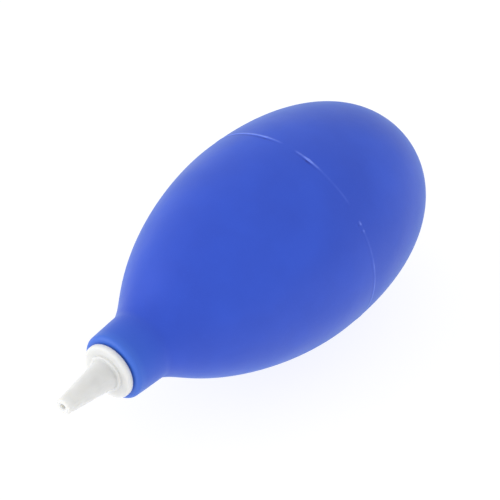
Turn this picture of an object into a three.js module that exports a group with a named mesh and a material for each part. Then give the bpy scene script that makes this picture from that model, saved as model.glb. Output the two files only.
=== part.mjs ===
// Dust blower bulb: an egg-shaped rubber bulb with a push-in plastic nozzle in its neck
// and a one-way air inlet valve in its tail.
//
// Millimetres. The blower lies on its belly on z = 0 with its axis along Y: the nozzle points
// to -Y, the tail to +Y. The origin is under the middle of its whole length.
//
// Every piece is turned about the bulb's axis. Profiles are [radius, y] pairs with y measured
// from the rubber lip at the mouth, growing towards the tail, and they run anticlockwise
// (up the outside, down the inside), so that the faces point out.

import * as THREE from 'three';

// ---------------------------------------------------------------- driving dimensions

// bulb, outside
const bellyRadius = 22.5;
const neckLength = 8.9;        // lip to where the egg's nose would close without a neck
const noseLength = 40.9;       // widest circle forward to that nose
const tailLength = 36.4;       // widest circle back to the tail
const noseFullness = 1.725;    // superellipse powers: 2 is an ellipse, more is boxier
const tailFullness = 2.22;
const neckWall = 2.60;         // rubber between the neck's bore and its outside, at the lip
const neckFlare = 0.065;       // radius gained per millimetre along the neck
const neckBlend = 4.18;        // size of the fillet between neck and egg
const lipRound = 0.95;         // rounding of the lip's outer edge
const mouthRound = 0.8;        // rounding of the lip's inner edge

// bulb, inside
const wall = 2.5;
const neckBore = 4.4;          // radius of the straight bore that grips the nozzle
const collarWall = 4.0;        // thickened ring of rubber that grips the inlet valve
const collarSlope = 1.0;
const beadWidth = 1.0;         // rubber bead that snaps into the valve's groove
const beadHeight = 0.5;

// nozzle
const nozzleReach = 14.3;      // lip to the tip of the nozzle
const tipRadius = 1.68;
const tipRound = 0.3;
const coneRootRadius = 3.1;
const coneRootFillet = 0.7;
const bossRadius = 3.85;
const bossHeight = 0.45;
const flangeInset = 1.15;      // how far the flange's edge stays inside the neck's outside
const flangeThickness = 1.35;
const flangeSeat = 0.3;        // gap between the lip and the flange's back
const flangeRound = 0.6;
const jetRadius = 0.6;         // air hole at the tip
const jetLength = 1.6;
const coneWall = 1.0;          // at the cone's root
const stemLength = 9.0;
const stemWall = 1.3;
const stemRibHeight = 0.3;
const stemRibWidth = 1.4;
const stemRibCount = 3;

// inlet valve
const plugWall = 0.8;          // round the cage
const plugTail = 1.2;          // plug beyond the cage, towards the inside of the bulb
const plugOverhang = 1.0;      // flange beyond the plug
const plugFlangeThickness = 1.2;
const plugFlangeRound = 0.4;
const plugSink = 0.6;          // the plug's face stands this far inside the egg's own tail
const inletRadius = 1.5;
const inletWall = 1.8;         // thickness of the plug's outer end, which holds the inlet hole
const seatWidth = 0.7;         // raised ring that the disc closes against
const seatHeight = 0.3;
const discRadius = 3.0;
const discThickness = 0.8;
const discLift = 0.8;          // travel between the seat and the cage
const chamberGap = 0.6;        // air way around the disc
const cageThickness = 1.0;
const cageRebate = 0.8;        // shoulder that the cage sits on, measured on the radius
const cageHubRadius = 1.0;
const cageSpokeWidth = 0.9;
const cageSpokes = 3;

// clearances between pieces
const pressGap = 0.3;          // between rubber and the plastic it grips
const faceGap = 0.1;           // between the disc and what it closes against

// mesh fineness
const bulbSegments = 40;
const smallSegments = 32;
const noseSteps = 17;
const tailSteps = 9;
const roundSteps = 3;

// ---------------------------------------------------------------- derived places

const neckRadius = neckBore + neckWall;
const bellyY = neckLength + noseLength;
const tailY = bellyY + tailLength;
const plugFaceY = tailY - plugSink;
const overallLength = nozzleReach + plugFaceY;

// inlet valve, with depths counted inwards from the plug's outer face
const chamberRadius = discRadius + chamberGap;
const rebateRadius = chamberRadius + cageRebate;
const plugRadius = rebateRadius + plugWall;
const plugFlangeRadius = plugRadius + plugOverhang;
const seatDepth = inletWall + seatHeight;
const discDepth = seatDepth + faceGap;
const shoulderDepth = discDepth + discThickness + discLift + faceGap;
const cageDepth = shoulderDepth + faceGap;
const plugLength = cageDepth + cageThickness + plugTail;
const grooveDepth = (plugFlangeThickness + plugLength) / 2;

// ---------------------------------------------------------------- shared helpers

// Quarter of a circle about [r, y], from one direction in degrees to another.
function arc(r, y, radius, fromDegrees, toDegrees) {
  return Array.from({ length: roundSteps + 1 }, (_, i) => {
    const t = THREE.MathUtils.degToRad(
      THREE.MathUtils.lerp(fromDegrees, toDegrees, i / roundSteps));
    return [r + radius * Math.cos(t), y + radius * Math.sin(t)];
  });
}

// A closed ring profile turned about the axis.
function turned(profile, segments) {
  const closed = [...profile, profile[0]];
  return new THREE.LatheGeometry(closed.map(([r, y]) => new THREE.Vector2(r, y)), segments);
}

function piece(name, geometry, color, roughness) {
  const material = new THREE.MeshStandardMaterial({ color, roughness, metalness: 0 });
  const mesh = new THREE.Mesh(geometry, material);
  mesh.name = name;
  return mesh;
}

// ---------------------------------------------------------------- bulb

// Larger of a and b with a rounded corner where they cross.
function smoothMax(a, b, width) {
  return 0.5 * (a + b + Math.hypot(a - b, width));
}

// Neck and egg nose joined by their fillet, before the belly is trimmed to size.
function filletedRadius(y) {
  const nose = Math.min(1, (bellyY - y) / noseLength);
  const egg = bellyRadius * (1 - nose ** noseFullness) ** (1 / noseFullness);
  const neckLine = neckRadius - neckBlend ** 2 / (4 * neckRadius) + neckFlare * y;
  return smoothMax(egg, neckLine, neckBlend);
}

// Outer radius between the lip and the widest circle. The fillet lifts the belly by a hair,
// and the second term takes that back.
function frontRadius(y) {
  const lift = filletedRadius(bellyY) - bellyRadius;
  return filletedRadius(y) - lift * (y / bellyY) ** 2;
}

// Point on the tail's superellipse: 0 at the widest circle, a quarter turn at the tail.
function tailPoint(angle) {
  const r = bellyRadius * Math.max(0, Math.cos(angle)) ** (2 / tailFullness);
  const y = bellyY + tailLength * Math.sin(angle) ** (2 / tailFullness);
  return [r, y];
}

// Angle on the tail where its radius has shrunk to r.
function tailAngle(r) {
  return Math.acos((r / bellyRadius) ** (tailFullness / 2));
}

function outerCurve(endRadius) {
  const front = Array.from({ length: noseSteps }, (_, i) => {
    const y = THREE.MathUtils.lerp(lipRound, bellyY, i / noseSteps);
    return [frontRadius(y), y];
  });
  const lastAngle = tailAngle(endRadius);
  const tail = Array.from({ length: tailSteps + 1 }, (_, i) =>
    tailPoint(lastAngle * i / tailSteps));
  return [...front, ...tail];
}

// The curve moved inwards by the wall, square to itself.
function innerCurve(curve) {
  return curve.slice(1, -1).map(([r, y], i) => {
    const [rBefore, yBefore] = curve[i];
    const [rAfter, yAfter] = curve[i + 2];
    const length = Math.hypot(rAfter - rBefore, yAfter - yBefore);
    return [r - wall * (yAfter - yBefore) / length, y + wall * (rAfter - rBefore) / length];
  });
}

function bulb() {
  const flangePocket = plugFlangeRadius + pressGap;
  const hole = plugRadius + pressGap;
  const bead = hole - beadHeight;
  const pocketY = plugFaceY - plugFlangeThickness - pressGap;
  const beadY = plugFaceY - grooveDepth;
  const collarY = plugFaceY - plugLength + pressGap;
  const collarRadius = hole + collarWall;
  const boreEnd = stemLength + pressGap;

  const outer = outerCurve(flangePocket);
  const inner = innerCurve(outer).filter(([r, y]) =>
    y > boreEnd + neckBore / 2 && (y < bellyY || r > collarRadius));

  const lipRadius = frontRadius(lipRound);
  const lip = [
    ...arc(neckBore + mouthRound, mouthRound, mouthRound, 180, 270),
    ...arc(lipRadius - lipRound, lipRound, lipRound, 270, 360),
  ];
  const valveSeat = [
    [flangePocket, pocketY],
    [hole, pocketY],
    [hole, beadY + beadWidth],
    [bead, beadY + beadWidth / 2],
    [bead, beadY - beadWidth / 2],
    [hole, beadY - beadWidth],
    [hole, collarY],
    [collarRadius - collarSlope, collarY],
  ];
  const inside = inner.reverse();
  const profile = [...lip, ...outer.slice(1), ...valveSeat, ...inside, [neckBore, boreEnd]];
  return piece('bulb', turned(profile, bulbSegments), 0x2c50c8, 0.55);
}

// ---------------------------------------------------------------- nozzle

// Ribs on the stem, as a zigzag between the stem and the neck's bore.
function stemRibs(stemRadius) {
  const ribs = [];
  for (let i = 0; i < stemRibCount; i += 1) {
    const y = stemLength - (i + 0.5) * stemLength / stemRibCount;
    ribs.push([stemRadius - stemRibHeight, y + stemRibWidth]);
    ribs.push([stemRadius, y]);
    ribs.push([stemRadius - stemRibHeight, y]);
  }
  return ribs;
}

function nozzle() {
  const stemRadius = neckBore - pressGap;
  const stemBore = stemRadius - stemRibHeight - stemWall;
  const tip = -nozzleReach;
  const back = -flangeSeat;
  const front = back - flangeThickness;
  const bossFront = front - bossHeight;
  const coneRoot = bossFront - coneRootFillet;
  const flangeRadius = neckRadius - flangeInset;

  const outside = [
    [jetRadius, tip],
    ...arc(tipRadius - tipRound, tip + tipRound, tipRound, 270, 360),
    [coneRootRadius, coneRoot],
    [coneRootRadius + coneRootFillet / 3, bossFront - coneRootFillet / 3],
    [Math.max(bossRadius - coneRootFillet / 6, coneRootRadius + coneRootFillet / 2), bossFront],
    [Math.max(bossRadius, coneRootRadius + coneRootFillet), front],
    ...arc(flangeRadius - flangeRound, front + flangeRound, flangeRound, 270, 360),
    [flangeRadius, back],
    [stemRadius - stemRibHeight, back],
  ];
  const ribs = stemRibs(stemRadius).reverse();
  const stemEnd = [
    [stemRadius - stemRibHeight, stemLength],
    [stemBore, stemLength],
  ];
  const airWay = [
    [stemBore, back],
    [coneRootRadius - coneWall, coneRoot],
    [jetRadius, tip + jetLength],
  ];
  const profile = [...outside, ...ribs, ...stemEnd, ...airWay];
  return piece('nozzle', turned(profile, smallSegments), 0xefefec, 0.4);
}

// ---------------------------------------------------------------- inlet valve

function inletValveBody() {
  const grooveRadius = plugRadius - beadHeight;
  const grooveY = plugFaceY - grooveDepth;
  const end = plugFaceY - plugLength;
  const under = plugFaceY - plugFlangeThickness;
  const reach = beadWidth + pressGap;

  const outside = [
    [rebateRadius, end],
    [plugRadius - beadHeight / 2, end],
    [plugRadius, end + beadHeight],
    [plugRadius, grooveY - reach],
    [grooveRadius, grooveY - reach / 2],
    [grooveRadius, grooveY + reach / 2],
    [plugRadius, grooveY + reach],
    [plugRadius, under],
    [plugFlangeRadius, under],
    ...arc(plugFlangeRadius - plugFlangeRound, plugFaceY - plugFlangeRound, plugFlangeRound, 0, 90),
    [inletRadius, plugFaceY],
  ];
  const inside = [
    [inletRadius, plugFaceY - seatDepth],
    [inletRadius + seatWidth, plugFaceY - seatDepth],
    [inletRadius + seatWidth, plugFaceY - inletWall],
    [chamberRadius, plugFaceY - inletWall],
    [chamberRadius, plugFaceY - shoulderDepth],
    [rebateRadius, plugFaceY - shoulderDepth],
  ];
  return piece('inlet_valve_body', turned([...outside, ...inside], smallSegments), 0xe9e9e6, 0.42);
}

function inletValveDisc() {
  const outerFace = plugFaceY - discDepth;
  const profile = [
    new THREE.Vector2(0, outerFace - discThickness),
    new THREE.Vector2(discRadius, outerFace - discThickness),
    new THREE.Vector2(discRadius, outerFace),
    new THREE.Vector2(0, outerFace),
  ];
  const geometry = new THREE.LatheGeometry(profile, smallSegments);
  return piece('inlet_valve_disc', geometry, 0x3a3c40, 0.7);
}

// A ring with a hub on spokes: an extruded plate with one window between each two spokes.
function inletValveCage() {
  const rim = rebateRadius - pressGap;
  const windowOuter = chamberRadius - faceGap;
  const plate = new THREE.Shape().absarc(0, 0, rim, 0, 2 * Math.PI);
  for (let i = 0; i < cageSpokes; i += 1) {
    const start = 2 * Math.PI * i / cageSpokes;
    const end = 2 * Math.PI * (i + 1) / cageSpokes;
    const outerTrim = Math.asin(cageSpokeWidth / 2 / windowOuter);
    const innerTrim = Math.asin(cageSpokeWidth / 2 / cageHubRadius);
    const opening = new THREE.Path();
    opening.absarc(0, 0, windowOuter, start + outerTrim, end - outerTrim, false);
    opening.absarc(0, 0, cageHubRadius, end - innerTrim, start + innerTrim, true);
    opening.closePath();
    plate.holes.push(opening);
  }
  const geometry = new THREE.ExtrudeGeometry(plate, {
    depth: cageThickness, bevelEnabled: false, curveSegments: 12,
  });
  geometry.rotateX(Math.PI / 2);
  geometry.translate(0, plugFaceY - cageDepth, 0);
  return piece('inlet_valve_cage', geometry, 0xe4e4e0, 0.45);
}

// ---------------------------------------------------------------- assembly

const blower = new THREE.Group();
blower.position.set(0, nozzleReach - overallLength / 2, bellyRadius);
blower.add(bulb(), nozzle(), inletValveBody(), inletValveDisc(), inletValveCage());

export default blower;
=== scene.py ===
"""Looks for the dust blower bulb: satin blue rubber, moulded white nozzle, inlet valve.

Everything is in metres in the frame of the CAD model: the blower lies on z = 0 with its axis
along Y, nozzle to -Y and inlet valve to +Y. Every piece but the cage is turned about that axis.
Angles round the axis are counted from +Z towards +X.
"""

import math

import bmesh
import bpy
import numpy as np
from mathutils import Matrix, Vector, noise


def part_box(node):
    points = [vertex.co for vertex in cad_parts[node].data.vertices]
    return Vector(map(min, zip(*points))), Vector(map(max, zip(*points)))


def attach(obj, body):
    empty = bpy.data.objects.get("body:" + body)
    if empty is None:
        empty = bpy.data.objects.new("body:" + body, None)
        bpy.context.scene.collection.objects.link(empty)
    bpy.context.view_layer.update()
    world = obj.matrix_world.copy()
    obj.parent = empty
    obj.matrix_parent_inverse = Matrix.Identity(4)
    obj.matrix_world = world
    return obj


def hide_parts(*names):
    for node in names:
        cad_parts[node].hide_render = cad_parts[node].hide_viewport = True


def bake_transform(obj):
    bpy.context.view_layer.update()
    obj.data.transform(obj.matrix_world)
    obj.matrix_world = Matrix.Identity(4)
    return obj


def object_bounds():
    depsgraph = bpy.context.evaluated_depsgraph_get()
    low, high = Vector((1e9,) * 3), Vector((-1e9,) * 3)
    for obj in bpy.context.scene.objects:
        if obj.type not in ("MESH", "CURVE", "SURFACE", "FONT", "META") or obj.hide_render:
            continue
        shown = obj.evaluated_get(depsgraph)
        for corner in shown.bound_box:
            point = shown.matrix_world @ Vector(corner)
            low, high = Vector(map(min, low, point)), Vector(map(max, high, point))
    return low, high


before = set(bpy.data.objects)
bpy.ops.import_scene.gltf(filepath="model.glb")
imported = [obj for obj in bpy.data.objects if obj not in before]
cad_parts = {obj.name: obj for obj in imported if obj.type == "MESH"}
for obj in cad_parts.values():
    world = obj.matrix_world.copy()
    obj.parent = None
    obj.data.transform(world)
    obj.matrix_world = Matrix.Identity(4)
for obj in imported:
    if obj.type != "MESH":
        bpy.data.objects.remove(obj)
CAD_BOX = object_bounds()

MM = 0.001

# ---------------------------------------------------------------- places from the frame

bulb_lo, bulb_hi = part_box("bulb")
nozzle_lo, nozzle_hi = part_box("nozzle")
plug_lo, plug_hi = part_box("inlet_valve_body")
disc_lo, disc_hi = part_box("inlet_valve_disc")
cage_lo, cage_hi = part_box("inlet_valve_cage")

BELLY_R = (bulb_hi.x - bulb_lo.x) / 2
AXIS_Z = bulb_lo.z + BELLY_R
LIP_Y = bulb_lo.y
TIP_Y = nozzle_lo.y
STEM_END_Y = nozzle_hi.y
FACE_Y = plug_hi.y
PLUG_END_Y = plug_lo.y
FLANGE_R = (nozzle_hi.x - nozzle_lo.x) / 2
PLUG_FLANGE_R = (plug_hi.x - plug_lo.x) / 2
DISC_R = (disc_hi.x - disc_lo.x) / 2
CAGE_R = (cage_hi.x - cage_lo.x) / 2

# ---------------------------------------------------------------- sizes, as in the CAD model

# bulb
NECK_LENGTH = 8.9 * MM
NOSE_LENGTH = 40.9 * MM
TAIL_LENGTH = 36.4 * MM
NOSE_FULLNESS = 1.725
NOSE_SOFTENING = 0.15          # rounds the curve off where nose and tail meet
TAIL_FULLNESS = 2.22
NECK_R = 7.0 * MM
NECK_FLARE = 0.058
NECK_BLEND = 4.7 * MM
LIP_ROUND = 0.95 * MM
MOUTH_ROUND = 0.8 * MM
WALL = 2.5 * MM
NECK_BORE = 4.4 * MM
BELLY_Y = LIP_Y + NECK_LENGTH + NOSE_LENGTH
BEAD_WIDTH = 1.0 * MM
BEAD_HEIGHT = 0.5 * MM
COLLAR_WALL = 4.0 * MM
COLLAR_SLOPE = 1.0 * MM
POCKET_RIM = 0.9 * MM          # the skin ends this far outside the valve's pocket
POCKET_ROUND = 0.3 * MM

# nozzle
FLANGE_SEAT = 0.3 * MM
FLANGE_THICKNESS = 1.35 * MM
FLANGE_ROUND = 0.6 * MM
FLANGE_BACK_ROUND = 0.3 * MM
BOSS_R = 3.85 * MM
BOSS_HEIGHT = 0.45 * MM
BOSS_ROUND = 0.32 * MM
CONE_ROOT_R = 3.1 * MM
CONE_ROOT_FILLET = 0.7 * MM
TIP_R = 1.68 * MM
TIP_ROUND = 0.3 * MM
JET_R = 0.6 * MM
JET_ROUND = 0.4 * MM
JET_LENGTH = 1.6 * MM
CONE_WALL = 1.0 * MM
CONE_BORE_ROUND = 0.3 * MM
STEM_WALL = 1.3 * MM
RIB_HEIGHT = 0.3 * MM
RIB_WIDTH = 1.4 * MM
RIB_COUNT = 3
RIB_EDGE = 0.05 * MM
RIB_ROOT_ROUND = 0.1 * MM

# inlet valve
PLUG_R = 5.2 * MM
PLUG_FLANGE_THICKNESS = 1.2 * MM
PLUG_FLANGE_ROUND = 0.4 * MM
INLET_R = 1.5 * MM
INLET_WALL = 1.8 * MM
INLET_ROUND = 0.3 * MM
SEAT_WIDTH = 0.7 * MM
SEAT_HEIGHT = 0.3 * MM
SEAT_ROUND = 0.15 * MM
SEAT_FILLET = 0.1 * MM
CHAMBER_GAP = 0.6 * MM
CHAMBER_FILLET = 0.2 * MM
DISC_ROUND = 0.15 * MM
DISC_PINHOLE = 0.02 * MM       # a turned piece can't close on its axis
CAGE_REBATE_R = 4.4 * MM
HUB_R = 1.0 * MM
SPOKE_WIDTH = 0.9 * MM
SPOKES = 3
CAGE_BEVEL = 0.08 * MM

PRESS_GAP = 0.3 * MM
FACE_GAP = 0.1 * MM

# ---------------------------------------------------------------- sizes only the looks have

# Raised line left where the two halves of the bulb's mould met. It leans a little.
FLASH_Y = BELLY_Y + 2.9 * MM
FLASH_WIDTH = 0.2 * MM
FLASH_RISE = -0.46 * MM        # how far the line's top stands from its middle, along the axis
FLASH_SIDE = 0.25 * MM         # the same for its +X side
FLASH_WANDER = 0.04 * MM
FLASH_SHADE = 0.35             # how dark the painted shade along its nose side is
FLASH_SHADE_PLACE = 2.2        # how far off the line that painted shade is, in widths of the line
FLASH_SPREAD = 0.6             # how fast the painted highlight and painted shade fade sideways
FLASH_BAND = 1.1 * MM          # rings stand close together this far either side of the line
FLASH_FOLLOW = 7 * MM          # rings this near the line lean with it
UNEVENNESS = 0.07 * MM         # slow waves of the moulded skin
WAVE_LENGTH = 28 * MM
NECK_LIGHT_LENGTH = 9 * MM      # painted light brightens the rubber over this much of the neck
# The painted highlight on the lip reaches this far along the axis.
LIP_HIGHLIGHT_LENGTH = 2.5 * LIP_ROUND

# The soft neck lets the nozzle sit a hair off the axis.
LEAN = Vector((0.24, 0, -0.18)) * MM
LEAN_START_Y = LIP_Y + 32 * MM

SEAM_HEIGHT = 0.035 * MM       # mould seams along the nozzle
SEAM_WIDTH = 0.09 * MM
SEAM_DEGREES = (62, 242)
EDGE = 0.12 * MM               # small rounding of moulded plastic edges

BULB_SEGMENTS = 360
NOZZLE_SEGMENTS = 192
VALVE_SEGMENTS = 128
NECK_RINGS, NOSE_RINGS, FLASH_RINGS, TAIL_RINGS = 24, 44, 40, 44
INSIDE_RINGS = 36
CONE_RINGS = 14


# ---------------------------------------------------------------- mesh helpers

def smooth_step(x, low, high):
    t = min(1.0, max(0.0, (x - low) / (high - low)))
    return t * t * (3 - 2 * t)


def rounded(corners, closed=True, steps=7):
    """A profile through corners (r, y, fillet radius), each corner rounded by its fillet.

    A point close beside each fillet keeps the straight run next to it shaded flat.
    """
    count = len(corners)
    points = []
    for i, (r, y, fillet) in enumerate(corners):
        here = Vector((r, y))
        if fillet == 0 or (not closed and i in (0, count - 1)):
            points.append((r, y))
            continue
        back = Vector(corners[i - 1][:2]) - here
        ahead = Vector(corners[(i + 1) % count][:2]) - here
        room = 0.47 * min(back.length, ahead.length)
        back.normalize()
        ahead.normalize()
        half = back.angle(ahead) / 2
        run = min(fillet / math.tan(half), room)
        radius = run * math.tan(half)
        middle = here + (back + ahead).normalized() * radius / math.sin(half)
        first = here + back * run - middle
        turn = first.angle_signed(here + ahead * run - middle)
        beside = 0.05 * run
        points.append(tuple(here + back * (run + beside)))
        for k in range(steps + 1):
            angle = -turn * k / steps
            cos, sin = math.cos(angle), math.sin(angle)
            spoke = Vector((first.x * cos - first.y * sin, first.x * sin + first.y * cos))
            points.append(tuple(middle + spoke))
        points.append(tuple(here + ahead * (run + beside)))
    return points


def circles(profile):
    """Rings for turned() that are true circles."""
    return [lambda angle, point=point: point for point in profile]


def lean_at(y):
    return LEAN * (1 - smooth_step(y, TIP_Y, LEAN_START_Y))


def turned(name, rings, segments):
    """A closed solid turned about the axis. Each ring gives (radius, y) for an angle."""
    verts = []
    for ring in rings:
        for s in range(segments):
            angle = 2 * math.pi * s / segments
            r, y = ring(angle)
            lean = lean_at(y)
            verts.append((lean.x + r * math.sin(angle), y, lean.z + AXIS_Z + r * math.cos(angle)))
    faces = []
    for i in range(len(rings)):
        low, high = i * segments, (i + 1) % len(rings) * segments
        for s in range(segments):
            n = (s + 1) % segments
            faces.append((low + s, low + n, high + n, high + s))
    mesh = bpy.data.meshes.new(name)
    mesh.from_pydata(verts, [], faces)
    return finished(name, mesh)


def finished(name, mesh):
    """An object of a closed mesh, smooth but for its sharp edges, with its faces outwards."""
    shape = bmesh.new()
    shape.from_mesh(mesh)
    bmesh.ops.remove_doubles(shape, verts=shape.verts, dist=0.0005 * MM)
    bmesh.ops.recalc_face_normals(shape, faces=shape.faces)
    shape.to_mesh(mesh)
    shape.free()
    mesh.shade_smooth()
    mesh.set_sharp_from_angle(angle=math.radians(35))
    obj = bpy.data.objects.new(name, mesh)
    bpy.context.scene.collection.objects.link(obj)
    return obj


def stands_for(obj, node, material):
    obj.data.materials.append(material)
    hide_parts(node)


# ---------------------------------------------------------------- bulb

def smooth_max(a, b, width):
    return 0.5 * (a + b + math.hypot(a - b, width))


def soft_power(n):
    """n to the power of the nose's fullness, rounded off near zero."""
    low = NOSE_SOFTENING**NOSE_FULLNESS
    return (n * n + NOSE_SOFTENING**2) ** (NOSE_FULLNESS / 2) - low


def filleted_radius(y):
    """Neck and egg nose joined by their fillet, y counted from the lip."""
    nose = min(1.0, (NECK_LENGTH + NOSE_LENGTH - y) / NOSE_LENGTH)
    left = 1 - soft_power(nose) / soft_power(1)
    egg = BELLY_R * max(0.0, left) ** (1 / NOSE_FULLNESS)
    neck = NECK_R - NECK_BLEND**2 / (4 * NECK_R) + NECK_FLARE * y
    return smooth_max(egg, neck, NECK_BLEND)


def egg_radius(y):
    """Outer radius of the bulb."""
    reach = BELLY_Y - LIP_Y
    if y < BELLY_Y:
        lift = filleted_radius(reach) - BELLY_R
        return filleted_radius(y - LIP_Y) - lift * smooth_step(y, LIP_Y, BELLY_Y)
    back = min(1.0, (y - BELLY_Y) / TAIL_LENGTH)
    return BELLY_R * (1 - back**TAIL_FULLNESS) ** (1 / TAIL_FULLNESS)


def tail_y(r):
    """Where the tail has shrunk to radius r."""
    return BELLY_Y + TAIL_LENGTH * (1 - (r / BELLY_R) ** TAIL_FULLNESS) ** (1 / TAIL_FULLNESS)


# The flash line round the bulb: (degrees, height in mm, strength of the painted highlight on it).
# It was trimmed by hand, so it is crisp in places, gone in others, and leaves a few torn nibs.
FLASH = [
    (-180, 0.03, 0.4), (-130, 0.04, 0.5), (-100, 0.01, 0.2), (-60, 0.01, 0.5),
    (-48, 0.04, 0.9), (-40, 0.10, 1.0), (-13.5, 0.10, 1.0), (-12.3, 0.22, 2.2), (-11, 0.10, 0.8),
    (-7, 0.07, 0.5), (-3, 0.02, 0.15), (-1, 0, 0), (6, 0, 0), (7.5, 0.05, 0.4),
    (12, 0.07, 0.6), (14.2, 0.18, 1.5), (15.2, 0.32, 4.0), (16.4, 0.18, 1.5),
    (18.5, 0.10, 0.7), (22, 0.05, 0.3), (24, 0.02, 0.12), (32, 0.015, 0.08),
    (35, 0.03, 0.12), (43, 0.03, 0.12), (46, 0, 0), (55.5, 0, 0), (56.8, 0.14, 0.9),
    (58, 0.01, 0.05), (60.2, 0.01, 0.05), (61, 0.10, 0.6), (62.2, 0.01, 0.05),
    (68, 0.02, 0.1), (72, 0.03, 0.12), (78, 0.03, 0.12), (82.5, 0.07, 0.4),
    (88, 0.04, 0.15), (95, 0.06, 0.4), (105, 0.06, 0.4), (112, 0.03, 0.2),
    (130, 0.07, 0.5), (160, 0.03, 0.3), (180, 0.05, 0.5),
]


def around(angle, scale, layer):
    """A point for noise that comes back to itself after one turn."""
    return Vector((math.sin(angle) * scale, math.cos(angle) * scale, layer))


def flash_at(angle):
    """Height in metres of the flash and strength of its painted highlight at an angle."""
    degrees = math.degrees(angle)
    if degrees > 180:
        degrees -= 360
    marks, heights, painted_highlights = zip(*FLASH)
    rough = 1 + 0.4 * noise.noise(around(angle, 60, 3.1))
    height = float(np.interp(degrees, marks, heights)) * MM * rough
    return height, float(np.interp(degrees, marks, painted_highlights)) * rough


def flash_line(angle):
    """Where the flash runs, along the axis."""
    wander = noise.noise(around(angle, 5, 9.0)) + 0.4 * noise.noise(around(angle, 30, 4.0))
    lean = FLASH_RISE * math.cos(angle) + FLASH_SIDE * math.sin(angle)
    return FLASH_Y + lean + FLASH_WANDER * wander


def unevenness(angle, y):
    """Slow waves in the skin, none at the lip and at the valve's seat."""
    free = smooth_step(y, LIP_Y + 4 * MM, LIP_Y + 18 * MM)
    free *= 1 - smooth_step(y, FACE_Y - 16 * MM, FACE_Y - 6 * MM)
    return noise.noise(around(angle, 1.1, y / WAVE_LENGTH)) * UNEVENNESS * free


def skin_ring(y):
    """A ring of the outer skin. Near the flash the rings follow its line."""
    follow = math.exp(-(((y - FLASH_Y) / FLASH_FOLLOW) ** 2))

    def ring(angle):
        line = flash_line(angle)
        here = y + (line - FLASH_Y) * follow
        across = (here - line) / FLASH_WIDTH
        ridge = flash_at(angle)[0] * math.exp(-(across**2))
        return egg_radius(here) + ridge + unevenness(angle, here), here

    return ring


def skin_ys(end_y):
    """Where the rings of the outer skin stand, close together at the flash and the ends."""
    low, high = FLASH_Y - FLASH_BAND, FLASH_Y + FLASH_BAND
    neck_end = LIP_Y + 16 * MM
    ys = list(np.linspace(LIP_Y + LIP_ROUND, neck_end, NECK_RINGS, endpoint=False))
    ys += list(np.linspace(neck_end, low, NOSE_RINGS, endpoint=False))
    ys += list(np.linspace(low, high, FLASH_RINGS, endpoint=False))
    ys += list(high + (end_y - high) * np.sin(np.linspace(0, math.pi / 2, TAIL_RINGS)))
    return ys


def inner_curve(end_r):
    """The inside of the shell from the valve's collar to the neck, one wall under the skin."""
    step = 0.05 * MM
    points = []
    for y in np.linspace(tail_y(end_r), LIP_Y + 9 * MM, INSIDE_RINGS):
        slope = (egg_radius(y + step) - egg_radius(y - step)) / (2 * step)
        across = WALL / math.hypot(1, slope)
        points.append((egg_radius(y) - across, y + across * slope))
    return points


def make_bulb():
    pocket_r = PLUG_FLANGE_R + PRESS_GAP
    pocket_y = FACE_Y - PLUG_FLANGE_THICKNESS - PRESS_GAP
    hole = PLUG_R + PRESS_GAP
    bead = hole - BEAD_HEIGHT
    bead_y = (FACE_Y - PLUG_FLANGE_THICKNESS + PLUG_END_Y) / 2
    collar_y = PLUG_END_Y + PRESS_GAP
    collar_r = hole + COLLAR_WALL
    bore_end = STEM_END_Y + PRESS_GAP
    lip_r = egg_radius(LIP_Y + LIP_ROUND)
    rim_r = pocket_r + POCKET_RIM

    mouth = rounded([
        (NECK_BORE, LIP_Y + 3 * MM, 0),
        (NECK_BORE, LIP_Y, MOUTH_ROUND),
        (lip_r, LIP_Y, LIP_ROUND),
        (lip_r, LIP_Y + 2.2 * LIP_ROUND, 0),
    ], closed=False, steps=10)[:-2]
    seat = rounded([
        (rim_r, tail_y(rim_r), 0),
        (pocket_r, tail_y(pocket_r), POCKET_ROUND),
        (pocket_r, pocket_y, EDGE),
        (hole, pocket_y, EDGE),
        (hole, bead_y + BEAD_WIDTH, EDGE),
        (bead, bead_y + BEAD_WIDTH / 2, EDGE),
        (bead, bead_y - BEAD_WIDTH / 2, EDGE),
        (hole, bead_y - BEAD_WIDTH, EDGE),
        (hole, collar_y, EDGE),
        (collar_r - COLLAR_SLOPE, collar_y, EDGE),
        (collar_r, collar_y + COLLAR_SLOPE, 0),
    ], closed=False, steps=3)
    inside = [
        (r, y) for r, y in inner_curve(collar_r)
        if y > bore_end + NECK_BORE / 2 and (y < BELLY_Y or r > collar_r)
    ]
    bore = [(NECK_BORE, bore_end), (NECK_BORE, (bore_end + LIP_Y) / 2)]
    skin = [skin_ring(y) for y in skin_ys(tail_y(rim_r))[1:-1]]
    bulb = turned(
        "rubber_bulb", circles(mouth) + skin + circles(seat + inside + bore), BULB_SEGMENTS
    )
    paint_flash_light_and_shade(bulb)
    stands_for(bulb, "bulb", bulb_rubber())
    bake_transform(bulb)


def paint_flash_light_and_shade(bulb):
    """Writes the painted highlight along the flash to the attribute that the rubber reads.

    On the nose side the line has a thin painted shade beside it, which is written as less than
    nothing.
    """
    marks = bulb.data.attributes.new("flash", "FLOAT", "POINT")
    for vert, mark in zip(bulb.data.vertices, marks.data):
        x, y, z = vert.co
        near = abs(y - FLASH_Y) < 2 * FLASH_BAND
        outside = math.hypot(x, z - AXIS_Z) > BELLY_R - WALL / 2
        if near and outside:
            angle = math.atan2(x, z - AXIS_Z)
            across = (y - flash_line(angle)) / FLASH_WIDTH
            light = math.exp(-FLASH_SPREAD * across**2)
            shade = FLASH_SHADE * math.exp(-FLASH_SPREAD * (across + FLASH_SHADE_PLACE) ** 2)
            # The value is painted light: the painted highlight on the line, less the painted
            # shade beside it.
            mark.value = flash_at(angle)[1] * (light - shade)


# ---------------------------------------------------------------- nozzle

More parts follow.
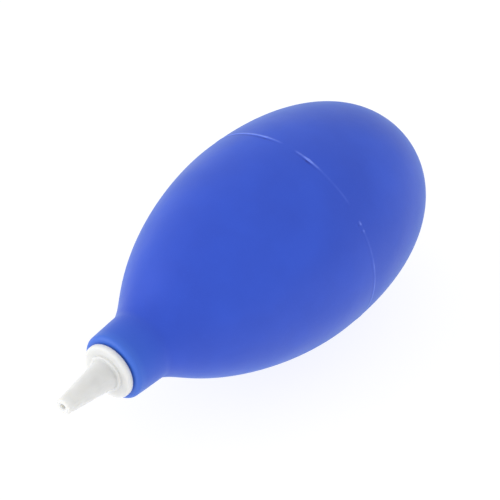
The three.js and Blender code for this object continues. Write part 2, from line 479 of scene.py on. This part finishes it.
def seamed(point, seams):
    """A ring with the fine raised seams of a mould in two halves."""
    r, y = point

    def ring(angle):
        across = min(abs(math.remainder(angle - seam, 2 * math.pi)) for seam in seams)
        return r + SEAM_HEIGHT * math.exp(-((across * r / SEAM_WIDTH) ** 2)), y

    return ring


def make_nozzle():
    back = LIP_Y - FLANGE_SEAT
    front = back - FLANGE_THICKNESS
    boss_front = front - BOSS_HEIGHT
    cone_root = boss_front - CONE_ROOT_FILLET
    stem_r = NECK_BORE - PRESS_GAP
    groove_r = stem_r - RIB_HEIGHT
    stem_bore = groove_r - STEM_WALL

    tip = rounded([
        (JET_R, TIP_Y + JET_LENGTH / 2, 0),
        (JET_R, TIP_Y, JET_ROUND),
        (TIP_R, TIP_Y, TIP_ROUND),
        (CONE_ROOT_R, cone_root, 0),
    ], closed=False)
    cone = [
        (TIP_R + (CONE_ROOT_R - TIP_R) * t, TIP_Y + (cone_root - TIP_Y) * t)
        for t in [i / CONE_RINGS for i in range(1, CONE_RINGS)]
    ]
    flange = rounded([
        cone[-1] + (0,),
        (CONE_ROOT_R, boss_front, CONE_ROOT_FILLET),
        (BOSS_R - 0.04 * MM, boss_front, BOSS_ROUND),
        (BOSS_R, front, EDGE),
        (FLANGE_R, front, FLANGE_ROUND),
        (FLANGE_R, back, FLANGE_BACK_ROUND),
        (groove_r, back, EDGE),
        (groove_r, back + 0.6 * MM, 0),
    ], closed=False)
    ribs = []
    pitch = (STEM_END_Y - LIP_Y) / RIB_COUNT
    for i in range(RIB_COUNT):
        y = LIP_Y + pitch * (i + 0.5)
        ribs += [(groove_r, y, RIB_EDGE), (stem_r, y, RIB_EDGE)]
        ribs += [(groove_r, min(y + RIB_WIDTH, STEM_END_Y - EDGE), RIB_ROOT_ROUND)]
    stem = rounded([
        (groove_r, back + 0.7 * MM, 0),
        *ribs,
        (groove_r, STEM_END_Y, EDGE / 2),
        (stem_bore, STEM_END_Y, EDGE),
        (stem_bore, back, CONE_BORE_ROUND),
        (CONE_ROOT_R - CONE_WALL, cone_root, CONE_BORE_ROUND),
        (JET_R, TIP_Y + JET_LENGTH, 0.2 * MM),
        (JET_R, TIP_Y + JET_LENGTH * 0.7, 0),
    ], closed=False, steps=4)
    seams = [math.radians(degrees) for degrees in SEAM_DEGREES]
    rings = circles(tip[:-1]) + [seamed(point, seams) for point in cone[:-1]]
    rings += circles(flange + stem)
    nozzle = turned("white_nozzle", rings, NOZZLE_SEGMENTS)
    stands_for(nozzle, "nozzle", white_plastic("nozzle_plastic"))
    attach(nozzle, "nozzle")


# ---------------------------------------------------------------- inlet valve

def make_valve_body():
    under = FACE_Y - PLUG_FLANGE_THICKNESS
    groove_y = (under + PLUG_END_Y) / 2
    groove_r = PLUG_R - BEAD_HEIGHT
    reach = BEAD_WIDTH + PRESS_GAP
    seat_y = FACE_Y - INLET_WALL - SEAT_HEIGHT
    chamber_r = DISC_R + CHAMBER_GAP
    shoulder_y = cage_hi.y + FACE_GAP
    body = turned("moulded_valve_body", circles(rounded([
        (CAGE_REBATE_R, PLUG_END_Y, EDGE),
        (PLUG_R - BEAD_HEIGHT / 2, PLUG_END_Y, EDGE),
        (PLUG_R, PLUG_END_Y + BEAD_HEIGHT, EDGE),
        (PLUG_R, groove_y - reach, EDGE),
        (groove_r, groove_y - reach / 2, EDGE),
        (groove_r, groove_y + reach / 2, EDGE),
        (PLUG_R, groove_y + reach, EDGE),
        (PLUG_R, under, EDGE),
        (PLUG_FLANGE_R, under, EDGE),
        (PLUG_FLANGE_R, FACE_Y, PLUG_FLANGE_ROUND),
        (INLET_R, FACE_Y, INLET_ROUND),
        (INLET_R, seat_y, SEAT_FILLET),
        (INLET_R + SEAT_WIDTH, seat_y, SEAT_ROUND),
        (INLET_R + SEAT_WIDTH, FACE_Y - INLET_WALL, SEAT_FILLET),
        (chamber_r, FACE_Y - INLET_WALL, CHAMBER_FILLET),
        (chamber_r, shoulder_y, EDGE),
        (CAGE_REBATE_R, shoulder_y, EDGE),
    ])), VALVE_SEGMENTS)
    stands_for(body, "inlet_valve_body", white_plastic("valve_body_plastic"))
    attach(body, "inlet_valve")


def make_valve_disc():
    disc = turned("soft_valve_disc", circles(rounded([
        (DISC_PINHOLE, disc_lo.y, 0),
        (DISC_R, disc_lo.y, DISC_ROUND),
        (DISC_R, disc_hi.y, DISC_ROUND),
        (DISC_PINHOLE, disc_hi.y, 0),
    ])), VALVE_SEGMENTS)
    stands_for(disc, "inlet_valve_disc", disc_rubber())
    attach(disc, "valve_disc")


def closed_spline(curve, points):
    spline = curve.splines.new("POLY")
    spline.points.add(len(points) - 1)
    for point, (x, y) in zip(spline.points, points):
        point.co = (x, y, 0, 1)
    spline.use_cyclic_u = True


def arc_points(radius, start, end, steps):
    angles = [start + (end - start) * i / steps for i in range(steps + 1)]
    return [(radius * math.cos(t), radius * math.sin(t)) for t in angles]


def make_valve_cage():
    """A ring with a hub on spokes, cut as a flat plate with softened edges."""
    thickness = cage_hi.y - cage_lo.y
    window_r = DISC_R + CHAMBER_GAP - FACE_GAP
    curve = bpy.data.curves.new("cage_outline", "CURVE")
    curve.dimensions = "2D"
    curve.fill_mode = "BOTH"
    curve.extrude = thickness / 2 - CAGE_BEVEL
    curve.bevel_depth = CAGE_BEVEL
    curve.bevel_resolution = 2
    curve.offset = -CAGE_BEVEL
    closed_spline(curve, arc_points(CAGE_R, 0, 2 * math.pi, 96)[:-1])
    for i in range(SPOKES):
        start, end = (2 * math.pi * (i + side) / SPOKES for side in (0, 1))
        outer_trim = math.asin(SPOKE_WIDTH / 2 / window_r)
        inner_trim = math.asin(SPOKE_WIDTH / 2 / HUB_R)
        outline = arc_points(window_r, start + outer_trim, end - outer_trim, 24)
        outline += arc_points(HUB_R, end - inner_trim, start + inner_trim, 8)
        closed_spline(curve, outline)
    plate = bpy.data.objects.new("cage_plate", curve)
    bpy.context.scene.collection.objects.link(plate)
    mesh = bpy.data.meshes.new_from_object(plate.evaluated_get(
        bpy.context.evaluated_depsgraph_get()))
    bpy.data.objects.remove(plate)
    middle_y = (cage_lo.y + cage_hi.y) / 2
    for vert in mesh.vertices:
        x, y, z = vert.co
        vert.co = (x, middle_y - z, AXIS_Z + y)
    cage = finished("spoked_valve_cage", mesh)
    stands_for(cage, "inlet_valve_cage", white_plastic("valve_cage_plastic"))
    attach(cage, "inlet_valve")


# ---------------------------------------------------------------- materials

class Nodes:
    """A new material and short ways to add nodes to it."""

    def __init__(self, name):
        self.material = bpy.data.materials.new(name)
        self.material.use_nodes = True
        self.tree = self.material.node_tree
        self.shader = self.tree.nodes["Principled BSDF"]
        self.place = self.add("ShaderNodeTexCoord").outputs["Object"]

    def add(self, kind, **settings):
        node = self.tree.nodes.new(kind)
        for key, value in settings.items():
            setattr(node, key, value)
        return node

    def link(self, start, end):
        self.tree.links.new(start, end)

    def noise(self, size, detail=2.0, roughness=0.5):
        """Noise whose lumps are about size metres across."""
        node = self.add("ShaderNodeTexNoise")
        node.inputs["Scale"].default_value = 1 / size
        node.inputs["Detail"].default_value = detail
        node.inputs["Roughness"].default_value = roughness
        self.link(self.place, node.inputs["Vector"])
        return node.outputs["Fac"]

    def range(self, value, low, high, start=0.25, end=0.75):
        """value between start and end, spread from low to high."""
        node = self.add("ShaderNodeMapRange")
        for key, number in (
            ("From Min", start), ("From Max", end), ("To Min", low), ("To Max", high)
        ):
            node.inputs[key].default_value = number
        self.link(value, node.inputs["Value"])
        return node.outputs["Result"]

    def mix(self, amount, first, second):
        """Colours mixed by amount. A colour is three numbers or a socket."""
        node = self.add("ShaderNodeMix", data_type="RGBA")
        self.link(amount, node.inputs["Factor"])
        for colour, socket in ((first, node.inputs[6]), (second, node.inputs[7])):
            if isinstance(colour, tuple):
                socket.default_value = (*colour, 1)
            else:
                self.link(colour, socket)
        return node.outputs[2]

    def bump(self, height, depth, normal=None):
        """Bump of a height between 0 and 1 that is depth metres deep."""
        node = self.add("ShaderNodeBump")
        node.inputs["Distance"].default_value = depth
        self.link(height, node.inputs["Height"])
        if normal:
            self.link(normal, node.inputs["Normal"])
        return node.outputs["Normal"]

    def surface(self, colour, roughness, normal, **constants):
        self.link(colour, self.shader.inputs["Base Color"])
        self.link(roughness, self.shader.inputs["Roughness"])
        self.link(normal, self.shader.inputs["Normal"])
        for name, value in constants.items():
            self.shader.inputs[name.replace("_", " ")].default_value = value
        return self.material


def bulb_rubber():
    """Satin blue rubber: matt grain, faint clouding, painted light on the neck, a painted
    highlight on the lip, and a painted highlight and painted shade along the flash.
    """
    nodes = Nodes("bulb_rubber")
    deep, light, speck = (0.0125, 0.067, 0.585), (0.0155, 0.079, 0.65), (0.02, 0.09, 0.66)
    # Colours of the painted light on the neck and the painted highlight on the lip.
    neck_painted_light, lip_painted_highlight = (0.024, 0.112, 0.65), (0.042, 0.15, 0.70)
    # Colours of the painted highlight and painted shade along the flash.
    flash_painted_highlight, flash_painted_shade = (0.17, 0.27, 0.94), (0.005, 0.03, 0.36)
    clouds = nodes.range(nodes.noise(14 * MM, 3), 0, 1, 0.35, 0.65)
    specks = nodes.range(nodes.noise(0.45 * MM, 2), 0, 0.35, 0.6, 0.75)
    colour = nodes.mix(clouds, deep, light)
    colour = nodes.mix(specks, colour, speck)
    along = nodes.add("ShaderNodeSeparateXYZ")
    nodes.link(nodes.place, along.inputs[0])
    # Painted light: the neck paler towards the lip, where the front light falls.
    neck = nodes.range(along.outputs["Y"], 1, 0, LIP_Y, LIP_Y + NECK_LIGHT_LENGTH)
    colour = nodes.mix(neck, colour, neck_painted_light)
    # Painted highlight along the rounded lip.
    lip_highlight_mask = nodes.range(along.outputs["Y"], 1, 0, LIP_Y, LIP_Y + LIP_HIGHLIGHT_LENGTH)
    colour = nodes.mix(lip_highlight_mask, colour, lip_painted_highlight)
    flash = nodes.add("ShaderNodeAttribute", attribute_name="flash").outputs["Fac"]
    # Painted shade: a thin dark line on the nose side of the flash.
    colour = nodes.mix(nodes.range(flash, 1, 0, -0.6, 0), colour, flash_painted_shade)
    # Painted highlight: the flash line paler than the rubber round it.
    colour = nodes.mix(flash, colour, flash_painted_highlight)
    roughness = nodes.range(nodes.noise(9 * MM, 4), 0.41, 0.50)
    grain = nodes.bump(nodes.noise(0.28 * MM, 3, 0.6), 0.010 * MM)
    normal = nodes.bump(nodes.noise(2.4 * MM, 2), 0.020 * MM, grain)
    return nodes.surface(
        colour, roughness, normal,
        IOR=1.5, Sheen_Weight=0.12, Sheen_Roughness=0.4, Sheen_Tint=(0.1, 0.8, 1.0, 1),
    )


def white_plastic(name):
    """Moulded polyethylene: milky, satin, with faint flow marks."""
    nodes = Nodes(name)
    dull, bright = (0.76, 0.76, 0.745), (0.80, 0.80, 0.785)
    flow = nodes.range(nodes.noise(2.5 * MM, 3), 0, 1, 0.35, 0.65)
    colour = nodes.mix(flow, dull, bright)
    roughness = nodes.range(nodes.noise(1.1 * MM, 3), 0.32, 0.44)
    grain = nodes.bump(nodes.noise(0.16 * MM, 2), 0.003 * MM)
    normal = nodes.bump(nodes.noise(1.3 * MM, 2), 0.012 * MM, grain)
    return nodes.surface(
        colour, roughness, normal,
        IOR=1.5, Subsurface_Weight=1.0, Subsurface_Scale=2 * MM,
        Subsurface_Radius=(1.0, 0.95, 0.85),
    )


def disc_rubber():
    """Dark grey soft rubber, lightly dusted with talc."""
    nodes = Nodes("disc_rubber")
    clean, dusty = (0.040, 0.042, 0.046), (0.12, 0.12, 0.125)
    talc = nodes.range(nodes.noise(0.5 * MM, 4, 0.7), 0, 0.6, 0.5, 0.8)
    colour = nodes.mix(talc, clean, dusty)
    roughness = nodes.range(nodes.noise(0.8 * MM, 3), 0.55, 0.75)
    normal = nodes.bump(nodes.noise(0.12 * MM, 3), 0.006 * MM)
    return nodes.surface(colour, roughness, normal, IOR=1.52)


def floor_white():
    """White light table: it gives light of its own, so shadows stay faint."""
    nodes = Nodes("floor_white")
    cloud = nodes.range(nodes.noise(0.25, 2), 0, 1)
    colour = nodes.mix(cloud, (0.215, 0.215, 0.215), (0.225, 0.225, 0.225))
    nodes.link(colour, nodes.shader.inputs["Base Color"])
    nodes.shader.inputs["Roughness"].default_value = 0.9
    nodes.shader.inputs["Specular IOR Level"].default_value = 0.1
    nodes.shader.inputs["Emission Color"].default_value = (1, 1, 1, 1)
    nodes.shader.inputs["Emission Strength"].default_value = 0.85
    return nodes.material


# ---------------------------------------------------------------- stage

AZIMUTH = math.radians(40)
ELEVATION = math.radians(40.8)
DISTANCE = 0.92
LENS = 336.6
AIM_RIGHT = 3.8 * MM           # the camera looks this far beside the middle of the object
AIM_UP = 4.8 * MM

WORLD_LIGHT = 0.85
SIDE_LIGHT = 1.3
SIDE_LIGHT_SIZE = 0.5
SIDE_LIGHT_PLACE = (-0.36, -0.46, 0.16)
FLOOR_HALF = 3.0


def make_camera():
    back = Vector((
        math.sin(AZIMUTH) * math.cos(ELEVATION),
        -math.cos(AZIMUTH) * math.cos(ELEVATION),
        math.sin(ELEVATION),
    ))
    right = Vector((math.cos(AZIMUTH), math.sin(AZIMUTH), 0))
    up = back.cross(right)
    middle = (CAD_BOX[0] + CAD_BOX[1]) / 2
    data = bpy.data.cameras.new("camera")
    data.lens = LENS
    data.clip_start, data.clip_end = 0.05, 10
    camera = bpy.data.objects.new("camera", data)
    camera.location = middle + right * AIM_RIGHT + up * AIM_UP + back * DISTANCE
    camera.rotation_mode = "QUATERNION"
    camera.rotation_quaternion = (-back).to_track_quat("-Z", "Y")
    bpy.context.scene.collection.objects.link(camera)
    bpy.context.scene.camera = camera


def make_floor():
    mesh = bpy.data.meshes.new("floor")
    half = FLOOR_HALF
    corners = [(-half, -half, 0), (half, -half, 0), (half, half, 0), (-half, half, 0)]
    mesh.from_pydata(corners, [], [(0, 1, 2, 3)])
    mesh.materials.append(floor_white())
    floor = bpy.data.objects.new("floor", mesh)
    bpy.context.scene.collection.objects.link(floor)


def make_lights():
    world = bpy.data.worlds.new("studio")
    world.use_nodes = True
    world.node_tree.nodes["Background"].inputs["Color"].default_value = (1, 1, 1, 1)
    world.node_tree.nodes["Background"].inputs["Strength"].default_value = WORLD_LIGHT
    bpy.context.scene.world = world
    data = bpy.data.lights.new("side_light", "AREA")
    data.size = SIDE_LIGHT_SIZE
    data.energy = SIDE_LIGHT
    light = bpy.data.objects.new("side_light", data)
    light.location = SIDE_LIGHT_PLACE
    light.rotation_mode = "QUATERNION"
    light.rotation_quaternion = (-Vector(SIDE_LIGHT_PLACE)).to_track_quat("-Z", "Y")
    bpy.context.scene.collection.objects.link(light)
    bpy.context.scene.view_settings.view_transform = "Standard"


# ---------------------------------------------------------------- the scene

make_camera()
make_lights()
make_floor()
make_bulb()
make_nozzle()
make_valve_body()
make_valve_disc()
make_valve_cage()
